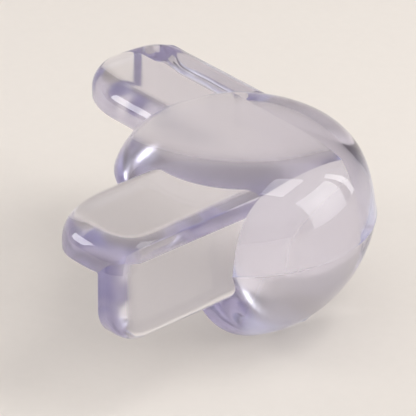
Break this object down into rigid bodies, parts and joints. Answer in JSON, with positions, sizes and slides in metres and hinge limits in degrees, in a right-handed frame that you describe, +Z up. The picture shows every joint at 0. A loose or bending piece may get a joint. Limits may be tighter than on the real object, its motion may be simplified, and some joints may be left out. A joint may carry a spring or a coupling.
{
  "type": "furniture corner protector",
  "caption": "Clear moulded corner guard: a solid ball over a table corner, with two L-section arms that lie along the table's edges.",
  "frame": {"origin": "the inner apex, where the protector's three inner faces meet at the table's corner", "axes": "+X along one arm, +Y along the other, +Z up, out of the table's top; the table fills +X, +Y, -Z"},
  "size_m": [0.0408, 0.0408, 0.0223],
  "materials": {
    "clear_pvc": "clear, glossy, soft moulded PVC with a faint violet cast"
  },
  "bodies": {
    "root": {"corner_protector": "clear_pvc"}
  },
  "joints": []
}
